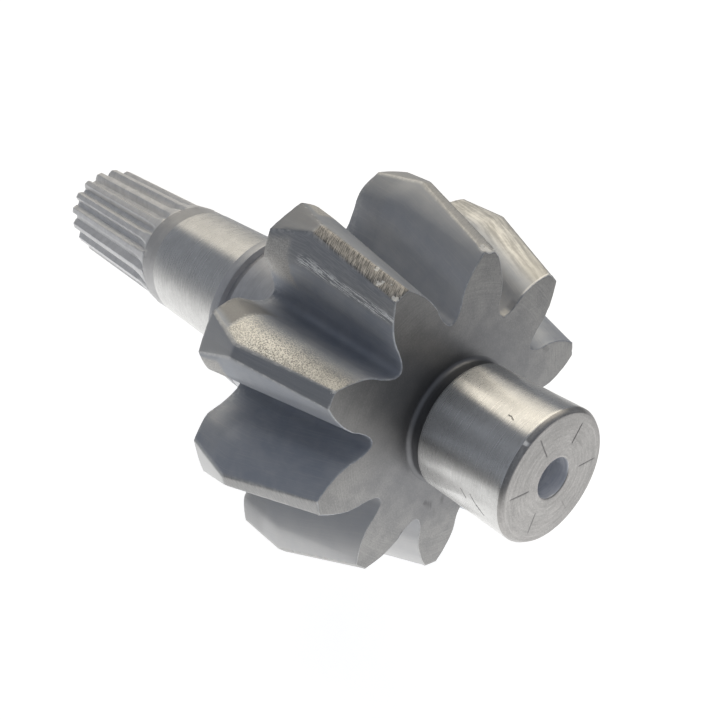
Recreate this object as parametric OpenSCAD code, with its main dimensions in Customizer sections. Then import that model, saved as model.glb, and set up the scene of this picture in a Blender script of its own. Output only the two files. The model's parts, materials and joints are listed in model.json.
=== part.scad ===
// Straight bevel pinion made in one piece with its shaft: a ground front journal with a
// drilled end, ten tapered teeth, a shoulder with a ring groove, a ground bearing
// journal and an involute spline. It lies as it rests on a table: on the heel corners of
// two teeth and on the spline end, with the front journal raised.

/* [Front journal] */
// Diameter of the ground journal in front of the teeth
front_d = 25; // [20:0.5:30]
// Length from the small-end face of the teeth to the end face of the journal
front_len = 22.3; // [16:0.1:30]
// Axial length of the chamfer at the journal's end
front_chamfer_len = 0.9; // [0.4:0.1:1.5]
// Radial height of that chamfer
front_chamfer_h = 0.65; // [0.3:0.05:1]
// Width of the grinding relief next to the teeth
front_relief_w = 2.8; // [1.5:0.1:4]
// Depth of the grinding relief
front_relief_depth = 0.5; // [0.2:0.05:1]
// Fillet between the grinding relief and the small-end face
front_fillet = 0.9; // [0.3:0.1:1.4]
// Diameter of the hole drilled in the end face
hole_d = 7.5; // [5:0.1:10]
// Depth of the full-diameter part of that hole
hole_depth = 20; // [8:0.5:40]
// Included angle of the drill point
hole_point = 118; // [90:1:140]

/* [Bevel teeth] */
// Number of teeth
teeth = 10; // [9:1:12]
// Tip diameter at the small end
toe_d = 64; // [58:0.5:70]
// Outside diameter of the cylindrical crown at the large end
heel_d = 80; // [76:0.5:90]
// Axial length of the toothed part
gear_len = 27.6; // [22:0.1:34]
// Axial length of the cylindrical crown
crown_len = 9.5; // [5:0.1:12]
// Root diameter at the small end
root_d = 41.2; // [38:0.1:44]
// Slope of the root line against the axis
root_angle = 13.8; // [10:0.1:18]
// Distance from the small-end face to the common apex of the flanks
apex_dist = 66.5; // [55:0.5:80]
// Slope of the conical back face of the teeth
back_angle = 15; // [0:0.5:20]
// Base circle diameter of the flank involute at the small end
flank_base_d = 48; // [46:0.1:50]
// Tooth thickness on the base circle at the small end
tooth_t = 9.75; // [8.5:0.05:10.5]
// Half width of the root curve's flat control at the small end
root_round = 1.4; // [0.6:0.1:2]
// Width of the tip land at the small end
land_toe = 3; // [2:0.1:3.2]
// Width of the tip land where the crown starts
land_crown = 2.1; // [1.2:0.1:3]
// Width of the crown at the large end
land_heel = 7.5; // [5:0.1:9]
// Height of the sloped tip corner at the small end
slope_toe = 1.2; // [0.4:0.1:2]
// Height of the sloped tip corner where the crown starts
slope_crown = 3.8; // [2:0.1:4.6]
// Height of the sloped tip corner at the large end
slope_heel = 3.6; // [2:0.1:4.6]

/* [Shoulder] */
// Diameter of the shoulder behind the teeth
shoulder_d = 40; // [36:0.5:46]
// Length from the large end of the teeth to the rear face of the shoulder
shoulder_len = 32.6; // [24:0.1:40]
// Fillet between the teeth and the shoulder
shoulder_fillet = 2; // [0.5:0.1:4]
// Chamfer at the rear edge of the shoulder
shoulder_chamfer = 1.2; // [0.4:0.1:2]
// Width of the ring groove
groove_w = 3.2; // [1.5:0.1:5]
// Depth of the ring groove
groove_depth = 1.3; // [0.5:0.1:2]
// Land between the ring groove and the rear face of the shoulder
groove_land = 3.9; // [2.5:0.1:6]

/* [Rear journal] */
// Diameter of the ground bearing journal
rear_d = 30; // [29:0.1:34]
// Length of the bearing journal
rear_len = 45.3; // [30:0.1:60]
// Fillet between shoulder and journal
rear_fillet = 1; // [0.3:0.1:2]
// Length of the taper from the journal down to the spline
taper_len = 7.7; // [3:0.1:12]

/* [Spline] */
// Number of spline teeth
spline_teeth = 18; // [14:1:22]
// Outside diameter of the spline
spline_d = 28.5; // [27:0.1:28.9]
// Depth of a spline space
spline_depth = 1.85; // [1.2:0.05:2.2]
// Pressure angle of the spline flanks
spline_angle = 30; // [20:2.5:30]
// Length of the spline from the taper to the end face
spline_len = 47.8; // [30:0.1:60]
// Radius of the cutter, which shapes the run-out of each space
cutter_r = 22; // [15:1:40]
// Chamfer at the spline's end
spline_chamfer = 1.2; // [0.5:0.1:2]
// Angle between a spline tooth and the tooth space of the gear that faces down
spline_phase = 5.2; // [0:0.1:20]
// Diameter of the turning centre in the end face
centre_d = 4; // [2:0.5:6]
// Depth of the turning centre's pilot
centre_depth = 8; // [5:0.5:12]
// Diameter of the turning centre's 60 degree mouth
centre_mouth_d = 8.5; // [6.5:0.5:12]

/* [Hidden] */
$fn = 96;
steel = [0.50, 0.51, 0.53];

// Radii
front_r = front_d / 2;
relief_r = front_r - front_relief_depth;
toe_r = toe_d / 2;
heel_r = heel_d / 2;
shoulder_r = shoulder_d / 2;
rear_r = rear_d / 2;
spline_r = spline_d / 2;
spline_root_r = spline_r - spline_depth;

// Stations along the axis: z is 0 at the small-end face and grows towards the front
crown_z = crown_len - gear_len;
heel_z = -gear_len;
back_z = heel_z - (heel_r - shoulder_r - shoulder_fillet) * tan(back_angle);
shoulder_z = heel_z - shoulder_len;
taper_z = shoulder_z - rear_len;
spline_z = taper_z - taper_len;
end_z = spline_z - spline_len;

// The angle in degrees by which an involute has turned at radius r from base radius b
function involute(r, b) = let (a = acos(min(1, b / r))) tan(a) * 180 / PI - a;

// Straight line through three values given at the toe, the crown's start and the heel
function along(z, toe, crown, heel) =
    z > crown_z
        ? toe + (crown - toe) * z / crown_z
        : crown + (heel - crown) * (max(z, heel_z) - crown_z) / (heel_z - crown_z);

// Every section of the flanks is a copy of the small-end section, scaled from the apex
function taper(z) = (apex_dist - z) / apex_dist;

// Half a tooth: half thickness against height, from the base circle to the sloped corner
half_pitch = 180 / teeth;
flank_steps = 6;
root_steps = 5;
corner_steps = 3;
function tip_r(z) = along(z, toe_r, heel_r, heel_r);
function base_r(z) = flank_base_d / 2 * taper(z);
function root_r(z) = root_d / 2 - z * tan(root_angle);
base_half = asin(tooth_t / flank_base_d);
function flank_half(r, z) = base_half - involute(r, base_r(z));
min_slope = 0.2;
function corner_r(z) = tip_r(z) - max(min_slope, along(z, slope_toe, slope_crown, slope_heel));
function land_half(z) = asin(along(z, land_toe, land_crown, land_heel) / 2 / tip_r(z));

// One side of a tooth space, as [radius, angle from the middle of the space]
far = 1.3;
past_tip = 0.8;
corner_pull = 0.72;
widest = half_pitch * 0.98;
function bow(p, q, r, u) = p * (1 - u) * (1 - u) + q * 2 * u * (1 - u) + r * u * u;
function space_side(z) =
    let (
        b = base_r(z),
        q = corner_r(z),
        t = tip_r(z),
        c = t - (t - q) * corner_pull,
        gap = half_pitch - base_half,
        foot = [b * cos(gap), b * sin(gap)],
        bend = [root_r(z), root_round * taper(z)],
        bed = [root_r(z), 0],
        start = [q, half_pitch - flank_half(q, z)],
        pull = [c, half_pitch - flank_half(c, z)],
        land = [t, half_pitch - land_half(z)],
        over = land + (land - bow(start, pull, land, 1 - 1 / corner_steps)) * past_tip
    )
    concat(
        [for (i = [1 : root_steps])
            let (p = bow(bed, bend, foot, i / root_steps))
            [norm(p), atan2(p[1], p[0])]],
        [for (i = [1 : flank_steps])
            let (r = b + (q - b) * i / flank_steps)
            [r, half_pitch - flank_half(r, z)]],
        [for (i = [1 : corner_steps - 1]) bow(start, pull, land, i / corner_steps)],
        [[over[0], min(over[1], widest)]],
        [[t * far, land[1]]]
    );

// Closed outline of a cut at height z from its one side and the points in its middle
function ring(side, bed_r, top_r, z) =
    let (n = len(side))
    concat(
        [[bed_r, 0, z]],
        [for (p = side) [p[0] * cos(p[1]), p[0] * sin(p[1]), z]],
        [[top_r, 0, z]],
        [for (i = [n - 1 : -1 : 0]) [side[i][0] * cos(side[i][1]), -side[i][0] * sin(side[i][1]), z]]
    );

// Triangles that close an outline of n points across its middle line, from point first on
function cap(n, first) = [
    for (i = [0 : n / 2 - 1])
        let (a = first + i, b = first + i + 1, c = first + (n - i) % n, d = first + n - i - 1)
        each concat(i > 0 ? [[a, c, b]] : [], b != d ? [[b, c, d]] : [])
];
function flipped(faces) = [for (f = faces) [f[2], f[1], f[0]]];

// Solid through a row of such outlines, from high z to low z
module loft(rings) {
    n = len(rings[0]);
    last = len(rings) - 1;
    polyhedron(
        points = [for (outline = rings) each outline],
        faces = concat(
            flipped(cap(n, 0)),
            cap(n, last * n),
            [for (i = [0 : last - 1], j = [0 : n - 1])
                let (k = (j + 1) % n)
                each [[i * n + j, (i + 1) * n + j, i * n + k], [i * n + k, (i + 1) * n + j, (i + 1) * n + k]]]
        )
    );
}

// One space between two bevel teeth, with its sections just clear of the turned edges
overrun = 2;
edge_clear = 0.35;
module tooth_space() {
    loft([for (z = [overrun, crown_z + edge_clear, heel_z + edge_clear, back_z - overrun])
        ring(space_side(z), root_r(z), tip_r(z) * far, z)]);
}

// One side of a spline space, lifted along the radius by the run-out of the cutter
spline_addendum = spline_depth * 0.4;
spline_pitch_r = spline_r - spline_addendum;
spline_base_r = spline_pitch_r * cos(spline_angle);
spline_steps = 4;
spline_over = 0.9;
function spline_half(r) =
    90 / spline_teeth + involute(spline_pitch_r, spline_base_r) - involute(r, spline_base_r);
function spline_side(lift) = [
    for (i = [0 : spline_steps])
        let (
            r = spline_root_r + (spline_depth + spline_over) * i / spline_steps,
            gap = 180 / spline_teeth - spline_half(r)
        )
        [r + lift, gap]
];

// One space between two spline teeth, open at the end and running out towards the journal
runout_h = spline_depth + 2 * (rear_r - spline_r);
runout_steps = 4;
runout_len = sqrt(2 * cutter_r * runout_h - runout_h * runout_h);
module spline_space() {
    top = rear_r + runout_h + overrun;
    lifts = [for (i = [runout_steps : -1 : 0])
        let (d = runout_len * i / runout_steps)
        [d, cutter_r - sqrt(cutter_r * cutter_r - d * d)]];
    full_z = spline_z - spline_depth;
    loft(concat(
        [for (l = lifts) ring(spline_side(l[1]), spline_root_r + l[1], top, full_z + l[0])],
        [ring(spline_side(0), spline_root_r, top, end_z - overrun)]
    ));
}

// Points of a quarter-round fillet from a face at z to a cylinder of radius r behind it
fillet_steps = 6;
function fillet(r, z, f) = [
    for (i = [0 : fillet_steps])
        let (a = 90 * i / fillet_steps)
        [r + f * (1 - sin(a)), z - f * (1 - cos(a))]
];

// The same rounding in front of a face, from the cylinder to the face
function front_rounding(r, z, f) = [
    for (i = [fillet_steps : -1 : 0])
        let (p = fillet(r, -z, f)[i])
        [p[0], -p[1]]
];

// Outline of the turned blank, as [radius, z] from the front end to the spline end
blank = concat(
    [
        [0, front_len],
        [front_r - front_chamfer_h, front_len],
        [front_r, front_len - front_chamfer_len],
        [front_r, front_relief_w],
        [relief_r, front_relief_w]
    ],
    front_rounding(relief_r, 0, front_fillet),
    [
        [toe_r, 0],
        [heel_r, crown_z],
        [heel_r, heel_z]
    ],
    fillet(shoulder_r, back_z, shoulder_fillet),
    [
        [shoulder_r, shoulder_z + groove_land + groove_w],
        [shoulder_r - groove_depth, shoulder_z + groove_land + groove_w],
        [shoulder_r - groove_depth, shoulder_z + groove_land],
        [shoulder_r, shoulder_z + groove_land],
        [shoulder_r, shoulder_z + shoulder_chamfer],
        [shoulder_r - shoulder_chamfer, shoulder_z]
    ],
    fillet(rear_r, shoulder_z, rear_fillet),
    [
        [rear_r, taper_z],
        [spline_r, spline_z],
        [spline_r, end_z + spline_chamfer],
        [spline_r - spline_chamfer, end_z],
        [0, end_z]
    ]
);

// Blind hole with a drill point, from a face at height z down
module drilled_hole(d, depth, point, z) {
    tip = d / 2 / tan(point / 2);
    translate([0, 0, z - depth]) cylinder(d = d, h = depth + overrun);
    translate([0, 0, z - depth - tip]) cylinder(d1 = 0, d2 = d, h = tip);
}

// Turning centre with a 60 degree mouth in the end face at height z, drilled upwards
module turning_centre(z) {
    mouth_h = centre_mouth_d / 2 / tan(30);
    mirror([0, 0, 1]) drilled_hole(centre_d, centre_depth, hole_point, -z);
    translate([0, 0, z]) cylinder(d1 = centre_mouth_d, d2 = 0, h = mouth_h);
}

// The whole part along its own axis, with a tooth space on the +X side
module shaft() {
    difference() {
        rotate_extrude() polygon(blank);
        for (i = [0 : teeth - 1]) rotate([0, 0, i * 360 / teeth]) tooth_space();
        for (i = [0 : spline_teeth - 1])
            rotate([0, 0, spline_phase + (i + 0.5) * 360 / spline_teeth]) spline_space();
        drilled_hole(hole_d, hole_depth, hole_point, front_len);
        turning_centre(end_z);
    }
}

// Rest: the crown corners of two teeth and the spline's end touch the table
rest_angle = half_pitch - land_half(heel_z);
rest_drop = heel_r * cos(rest_angle);
spline_drop = spline_r;
spline_rest_z = end_z + spline_chamfer;
tilt = atan((rest_drop - spline_drop) / (heel_z - spline_rest_z));
axis_h = rest_drop * cos(tilt) - heel_z * sin(tilt);
reach_front = front_len * cos(tilt) + (front_r - front_chamfer_h) * sin(tilt);
reach_rear = end_z * cos(tilt) - (spline_r - spline_chamfer) * sin(tilt);

module pinion_shaft() {
    color(steel)
        translate([-(reach_front + reach_rear) / 2, 0, axis_h])
            rotate([0, 90 - tilt, 0])
                shaft();
}

pinion_shaft();
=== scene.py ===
import json
import math

import bpy
import numpy as np
from mathutils import Matrix, Vector


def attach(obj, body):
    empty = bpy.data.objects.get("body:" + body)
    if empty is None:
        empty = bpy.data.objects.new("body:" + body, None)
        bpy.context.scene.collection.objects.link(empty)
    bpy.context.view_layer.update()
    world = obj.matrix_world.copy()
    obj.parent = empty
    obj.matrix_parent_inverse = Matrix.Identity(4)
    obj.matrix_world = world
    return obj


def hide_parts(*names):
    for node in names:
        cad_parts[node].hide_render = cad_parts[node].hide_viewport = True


MM = 0.001
AXIS_R = 0.02

# Sizes of the part in millimetres, along its own axis: z is 0 at the small-end face of the teeth
FRONT_R = 12.5
FRONT_Z = 22.3
CHAMFER_LEN = 0.9
CHAMFER_H = 0.65
RELIEF_W = 2.8
RELIEF_R = 12.0
FACE_FILLET = 0.9
HOLE_R = 3.75
HOLE_DEPTH = 20.0
HOLE_POINT = 118.0

TEETH = 10
TOE_R = 32.0
HEEL_R = 40.0
CROWN_Z = -18.1
HEEL_Z = -27.6
ROOT_R = 20.6
ROOT_ANGLE = 13.8
APEX = 66.5
BACK_ANGLE = 15.0
FLANK_BASE_R = 24.0
TOOTH_T = 9.75
ROOT_ROUND = 1.4
LAND = (3.0, 2.1, 7.5)
SLOPE = (1.2, 3.8, 3.6)
CORNER_PULL = 0.72

SHOULDER_R = 20.0
SHOULDER_FILLET = 2.0
SHOULDER_Z = -60.2
SHOULDER_CHAMFER = 1.2
GROOVE_W = 3.2
GROOVE_DEPTH = 1.3
GROOVE_LAND = 3.9

REAR_R = 15.0
REAR_FILLET = 1.0
GROUND_Z = -98.3
UNGROUND = 0.1
TAPER_Z = -105.5
SPLINE_Z = -113.2
END_Z = -161.0
SPLINE_TEETH = 18
SPLINE_R = 14.25
SPLINE_DEPTH = 1.85
SPLINE_ANGLE = 30.0
SPLINE_CHAMFER = 1.2
SPLINE_PHASE = 5.2
CUTTER_R = 22.0
CENTRE_R = 2.0
CENTRE_DEPTH = 8.0
CENTRE_MOUTH_R = 4.25
CENTRE_ANGLE = 30.0

# Place of the front journal's seat on the axis
SEAT_Z = 12.1

BACK_SLOPE = math.tan(math.radians(BACK_ANGLE))
BACK_Z = HEEL_Z - (HEEL_R - SHOULDER_R - SHOULDER_FILLET) * BACK_SLOPE
HALF_PITCH = math.pi / TEETH
BASE_HALF = math.asin(TOOTH_T / (2 * FLANK_BASE_R))

# Columns around the part: each half pitch has its own share for root, flank, corner and land
ROOT_N = 8
FLANK_N = 10
CORNER_N = 5
LAND_N = 4
HALF_N = ROOT_N + FLANK_N + CORNER_N + LAND_N
CORNER_AT = (0.25, 0.5, 0.72, 0.9, 1.0)
CREASE_I = ROOT_N + FLANK_N + CORNER_N
EDGE_W = 0.15
GEAR_COLS = 2 * HALF_N * TEETH
SPLINE_HALF_N = 10
SHAFT_COLS = 2 * SPLINE_HALF_N * SPLINE_TEETH


def smooth(low, high, x):
    """Smooth step from 0 at low to 1 at high."""
    t = np.clip((x - low) / (high - low), 0, 1)
    return t * t * (3 - 2 * t)


def wave_noise(x, seed, base):
    """Smooth random curve of x made of six sine waves, about -1 to 1."""
    waves = np.random.default_rng(seed)
    total = 0
    for row in range(6):
        rate = base * 1.7**row
        total = total + np.sin(rate * x * (1 + 0.3 * waves.random()) + 6.28 * waves.random()) / 1.25**row
    return total / 2.6


# The tooth form
def along(z, three):
    """Value at z on the straight lines through the toe, the crown's start and the heel."""
    toe, crown, heel = three
    if z > CROWN_Z:
        return toe + (crown - toe) * z / CROWN_Z
    return crown + (heel - crown) * (max(z, HEEL_Z) - CROWN_Z) / (HEEL_Z - CROWN_Z)


def involute(r, base):
    """Angle by which an involute from the base radius has turned at radius r."""
    a = np.arccos(np.minimum(1, base / r))
    return np.tan(a) - a


def bow(p, q, r, u):
    """Points at u on the curve from p to r, pulled towards q."""
    u = u[:, None]
    return p * (1 - u) ** 2 + q * 2 * u * (1 - u) + r * u * u


def half_space(z, cut=0.0):
    """Radius and angle from the middle of a tooth space to the middle of a tooth, at height z,
    with the metal taken back by a cut."""
    scale = (APEX - z) / APEX
    base = FLANK_BASE_R * scale
    tip = along(z, (TOE_R, HEEL_R, HEEL_R)) - cut
    root = ROOT_R - z * math.tan(math.radians(ROOT_ANGLE)) - cut
    corner = tip - along(z, SLOPE)
    land = math.asin((along(z, LAND) / 2 - cut * 0.5) / tip)
    gap = HALF_PITCH - BASE_HALF + cut / base

    def side(r):
        return HALF_PITCH - BASE_HALF + involute(r, base) + cut / r

    flank_foot = np.array([base * math.cos(gap), base * math.sin(gap)])
    bed = np.array([root, 0.0])
    bend = np.array([root, ROOT_ROUND * scale])
    low = bow(bed, bend, flank_foot, np.linspace(0, 1, ROOT_N + 1)[:-1])
    r_low = np.hypot(low[:, 0], low[:, 1])
    a_low = np.arctan2(low[:, 1], low[:, 0])
    r_flank = np.linspace(base, corner, FLANK_N + 1)
    a_flank = side(r_flank)
    pulled = tip - (tip - corner) * CORNER_PULL
    start = np.array([corner, side(corner)])
    pull = np.array([pulled, side(pulled)])
    end = np.array([tip, HALF_PITCH - land])
    turn = bow(start, pull, end, np.array(CORNER_AT))
    a_land = np.linspace(HALF_PITCH - land + EDGE_W / tip, HALF_PITCH, LAND_N)
    r = np.concatenate([r_low, r_flank, turn[:, 0], np.full(LAND_N, tip)])
    a = np.concatenate([a_low, a_flank, turn[:, 1], a_land])
    return r, a


def tooth_scale(r, a):
    """Share of the tooth's height, and distance over the surface from the middle of the tip."""
    height = (r - r[0]) / (r[-1] - r[0])
    steps = np.hypot(np.diff(r), r[1:] * np.diff(a))
    across = np.concatenate([np.cumsum(steps[::-1])[::-1], [0.0]])
    return height, across


def all_round(r, a):
    """Repeats half a tooth space around the whole gear."""
    r_pitch = np.concatenate([r, r[-2:0:-1]])
    a_pitch = np.concatenate([a, 2 * HALF_PITCH - a[-2:0:-1]])
    turns = np.arange(TEETH)[:, None] * 2 * HALF_PITCH
    return np.tile(r_pitch, TEETH), (a_pitch[None, :] + turns).ravel()


def on_back_face(cut=0.0):
    """Section where the tooth spaces leave through the conical back face."""
    z = np.full(HALF_N + 1, HEEL_Z)
    r = np.zeros(HALF_N + 1)
    a = np.zeros(HALF_N + 1)
    for _ in range(6):
        for i in range(HALF_N + 1):
            r_all, a_all = half_space(z[i], cut)
            r[i] = r_all[i]
            a[i] = a_all[i]
        z = HEEL_Z - (HEEL_R - r) * BACK_SLOPE
    return r, a, z


class Strip:
    """Rings that follow each other along the part, each with one point per column and a zone."""

    def __init__(self, columns):
        self.columns = columns
        self.even = np.arange(columns) * 2 * math.pi / columns
        self.rows = []
        self.zone = []

    def add(self, zone, r, a, z, height=0.0, across=0.0):
        row = [np.broadcast_to(value, self.columns).astype(float) for value in (r, a, z, height, across)]
        self.rows.append(row)
        self.zone.append(zone)

    def ring(self, zone, r, z):
        """Adds a round ring with even steps."""
        self.add(zone, r, self.even, z)

    def arrays(self):
        return np.array(self.rows).transpose(1, 0, 2)


# Tooth, side of the tooth and place in the half pitch of each column of the gear
COLUMN_STEP = np.arange(GEAR_COLS) % (2 * HALF_N)
COLUMN_SIDE = np.where(COLUMN_STEP > HALF_N, 1.0, -1.0)
COLUMN_I = np.where(COLUMN_STEP > HALF_N, 2 * HALF_N - COLUMN_STEP, COLUMN_STEP)
COLUMN_TOOTH = np.arange(GEAR_COLS) // (2 * HALF_N)

# Zones of the surface, in the order of their materials
END, JOURNAL, RELIEF, FACE, TOOTH, BACK, SHOULDER, GROOVE, SPLINE, HOLE, REAR = range(11)


def front_end(strip):
    """Drilled hole, end face, chamfer, ground journal and relief."""
    tip = HOLE_R / math.tan(math.radians(HOLE_POINT / 2))
    floor_z = FRONT_Z - HOLE_DEPTH
    strip.ring(HOLE, AXIS_R, floor_z - tip)
    strip.ring(HOLE, HOLE_R, floor_z)
    for z in np.linspace(floor_z + 0.4, FRONT_Z - 0.35, 5):
        strip.ring(HOLE, HOLE_R, z)
    strip.ring(HOLE, HOLE_R + 0.05, FRONT_Z - 0.12)
    for r in np.linspace(HOLE_R + 0.2, FRONT_R - CHAMFER_H - 0.12, 24):
        strip.ring(END, r, FRONT_Z)
    strip.ring(END, FRONT_R - CHAMFER_H + 0.03, FRONT_Z - 0.06)
    strip.ring(END, FRONT_R - CHAMFER_H / 2, FRONT_Z - CHAMFER_LEN / 2)
    strip.ring(END, FRONT_R - 0.06, FRONT_Z - CHAMFER_LEN + 0.08)
    strip.ring(JOURNAL, FRONT_R, FRONT_Z - CHAMFER_LEN - 0.08)
    for z in np.linspace(FRONT_Z - CHAMFER_LEN - 0.5, RELIEF_W + 0.6, 30):
        strip.ring(JOURNAL, FRONT_R, z)
    strip.ring(JOURNAL, FRONT_R, RELIEF_W + 0.12)
    strip.ring(RELIEF, FRONT_R - 0.1, RELIEF_W)
    strip.ring(RELIEF, RELIEF_R + 0.1, RELIEF_W - 0.05)
    strip.ring(RELIEF, RELIEF_R, RELIEF_W - 0.25)
    for turn in np.linspace(0, 90, 6):
        up = math.radians(turn)
        r = RELIEF_R + FACE_FILLET * (1 - math.cos(up))
        strip.ring(RELIEF, r, FACE_FILLET * (1 - math.sin(up)))


def edge_wear(r, a, seed, size):
    """Width of the worn edge along an outline: a smooth random curve with a few nicks."""
    x = r * np.cos(a)
    y = r * np.sin(a)
    run = np.cumsum(np.hypot(np.diff(x, append=x[0]), np.diff(y, append=y[0])))
    worn = size * (1 + 0.4 * wave_noise(run, seed, 0.9))
    nicks = np.maximum(0, wave_noise(run, seed + 1, 0.7) - 0.8)
    return np.clip(worn + nicks * 0.6, 0.06, 0.55)


# Teeth by their place around the gear, named by what marks them
BEIGE_TOOTH, TOP_TOOTH, TORN_TOOTH, GRITTY_TOOTH, SIDE_TOOTH, LOWER_TOOTH, LOWEST_TOOTH = range(3, 10)

# Chips on the tips: tooth, distance from the small end, place across the tip, radius and depth
CHIPS = (
    (TORN_TOOTH, 4.2, 0.9, 0.6, 0.22),
    (TORN_TOOTH, 3.8, 0.1, 0.5, 0.16),
    (TORN_TOOTH, 2.5, -0.4, 0.4, 0.13),
    (TORN_TOOTH, 6.1, -1.0, 0.65, 0.2),
    (TORN_TOOTH, 7.4, -1.5, 0.4, 0.13),
    (TORN_TOOTH, 0.5, 1.0, 0.7, 0.2),
    (TOP_TOOTH, 1.0, 0.8, 1.0, 0.35),
    (TOP_TOOTH, 0.0, 0.2, 0.9, 0.3),
    (TOP_TOOTH, 0.2, -1.6, 0.9, 0.25),
    (BEIGE_TOOTH, 0.3, 1.4, 0.8, 0.2),
    (GRITTY_TOOTH, 0.2, -1.5, 0.7, 0.15),
)


def chip_depth(z, across):
    """Depth of the chips at each column of a ring."""
    depth = np.zeros(GEAR_COLS)
    for tooth, length, place, radius, deep in CHIPS:
        away = np.hypot(-z - length, across - place) / radius
        here = (COLUMN_TOOTH == tooth) & (away < 1)
        depth = np.where(here, np.maximum(depth, deep * (1 - away**2)), depth)
    return depth


def ring_scale(r, a):
    """Height and place across the tooth at every column, from half a tooth space."""
    height, across = tooth_scale(r, a)
    return all_round(height, a)[0], all_round(across, a)[0] * COLUMN_SIDE


# Cut of the fully worn outline, mean wear at both ends of the teeth, and wear of the tips' creases
FULL_CUT = 0.3
TOE_WEAR = 0.15
HEEL_WEAR = 0.25
CREASE_WEAR = 0.05
CREASE_RAGGED = 0.06


def toe_face(strip):
    """Small-end face of the teeth and its worn edge."""
    section = half_space(0.0)
    height, across = ring_scale(*section)
    r_toe, a_toe = all_round(*section)
    r_cut, a_cut = all_round(*half_space(0.0, FULL_CUT))
    wear = edge_wear(r_toe, a_toe, 5, TOE_WEAR)
    share = wear / FULL_CUT
    chips = chip_depth(0.0, across)
    r_in = r_toe + (r_cut - r_toe) * share - chips
    a_in = a_toe + (a_cut - a_toe) * share
    inner = RELIEF_R + FACE_FILLET
    for u in np.append(np.linspace(0.03, 0.97, 14) ** 0.9, [0.99, 1.0]):
        r = inner + (r_in - inner) * u
        a = strip.even + (a_in - strip.even) * u
        strip.add(FACE, r, a, 0.0, height * u)
    r_mid = r_toe + (r_cut - r_toe) * share * 0.3 - chips
    a_mid = a_toe + (a_cut - a_toe) * share * 0.3
    strip.add(TOOTH, r_mid, a_mid, -wear * 0.3, height, across)
    r_low, a_low = all_round(*half_space(-FULL_CUT))
    strip.add(TOOTH, r_low - chips, a_low, -wear, height, across)


def tooth_ring(strip, z):
    """One section of the teeth, with worn creases and chips."""
    r, a = half_space(z)
    height, across = ring_scale(r, a)
    r_all, a_all = all_round(r, a)
    ragged = wave_noise(-z * 3 + COLUMN_TOOTH * 40 + COLUMN_SIDE * 9, 3, 0.5)
    worn = CREASE_WEAR + CREASE_RAGGED * np.maximum(0, ragged)
    crease = np.where(COLUMN_I == CREASE_I, worn, 0.0)
    strip.add(TOOTH, r_all - crease - chip_depth(z, across), a_all, z, height, across)


def back_face(strip):
    """Worn edge at the large end of the teeth and the conical back face."""
    r_out, a_out, z_out = on_back_face()
    r_cut, a_cut = all_round(*on_back_face(FULL_CUT)[:2])
    r_all, a_all = all_round(r_out, a_out)
    z_all = all_round(z_out, a_out)[0]
    height, across = ring_scale(r_out, a_out)
    wear = edge_wear(r_all, a_all, 9, HEEL_WEAR)
    share = wear / FULL_CUT
    strip.add(TOOTH, r_all, a_all, z_all + wear, height, across)
    r_in = r_all + (r_cut - r_all) * share
    a_in = a_all + (a_cut - a_all) * share
    inner = SHOULDER_R + SHOULDER_FILLET
    for u in np.linspace(1, 0.08, 7):
        r = inner + (r_in - inner) * u
        a = strip.even + (a_in - strip.even) * u
        strip.add(BACK, r, a, HEEL_Z - (HEEL_R - r) * BACK_SLOPE)
    strip.ring(BACK, inner, BACK_Z)
    strip.ring(BACK, AXIS_R, BACK_Z - 0.01)


def toothed_part(strip):
    """Small-end face, teeth and conical back face."""
    toe_face(strip)
    cone = np.append(-0.45, np.linspace(-0.9, CROWN_Z + 0.25, 42))
    crown = np.linspace(CROWN_Z - 0.2, HEEL_Z + 0.7, 20)
    for z in np.concatenate([cone, crown]):
        tooth_ring(strip, z)
    back_face(strip)


def foot(strip, zone, r, z, fillet, degrees):
    """Rounded foot where a face at z meets the cylinder of radius r behind it."""
    for up in np.radians(degrees):
        strip.ring(zone, r + fillet * (1 - math.sin(up)), z - fillet * (1 - math.cos(up)))


def shoulder(strip):
    """Shoulder behind the teeth, with its ring groove and chamfered rear edge."""
    strip.ring(BACK, AXIS_R, BACK_Z + 0.3)
    strip.ring(BACK, SHOULDER_R - 1, BACK_Z + 0.3)
    foot(strip, SHOULDER, SHOULDER_R, BACK_Z, SHOULDER_FILLET, np.linspace(8, 90, 6))
    land = SHOULDER_Z + GROOVE_LAND
    for z in np.linspace(BACK_Z - SHOULDER_FILLET - 1.5, land + GROOVE_W + 0.25, 10):
        strip.ring(SHOULDER, SHOULDER_R, z)
    wall = ((0.15, -0.02), (GROOVE_DEPTH - 0.15, 0.03), (GROOVE_DEPTH, 0.2))
    for deep, inset in wall:
        strip.ring(GROOVE, SHOULDER_R - deep, land + GROOVE_W - inset)
    for deep, inset in reversed(wall):
        strip.ring(GROOVE, SHOULDER_R - deep, land + inset)
    strip.ring(SHOULDER, SHOULDER_R, land - 0.25)
    strip.ring(SHOULDER, SHOULDER_R, SHOULDER_Z + SHOULDER_CHAMFER + 0.1)
    strip.ring(SHOULDER, SHOULDER_R - 0.1, SHOULDER_Z + SHOULDER_CHAMFER - 0.1)
    strip.ring(SHOULDER, SHOULDER_R - SHOULDER_CHAMFER + 0.05, SHOULDER_Z + 0.08)
    strip.ring(SHOULDER, SHOULDER_R - SHOULDER_CHAMFER - 0.1, SHOULDER_Z)


def rear_journal(strip):
    """Ground bearing journal and the unground band behind it."""
    foot(strip, JOURNAL, REAR_R, SHOULDER_Z, REAR_FILLET, np.linspace(0, 90, 5))
    for z in np.linspace(SHOULDER_Z - REAR_FILLET - 1, GROUND_Z, 14):
        strip.ring(JOURNAL, REAR_R, z)
    for z in np.linspace(GROUND_Z - 0.15, TAPER_Z + 0.4, 4):
        strip.ring(REAR, REAR_R - UNGROUND, z)


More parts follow.
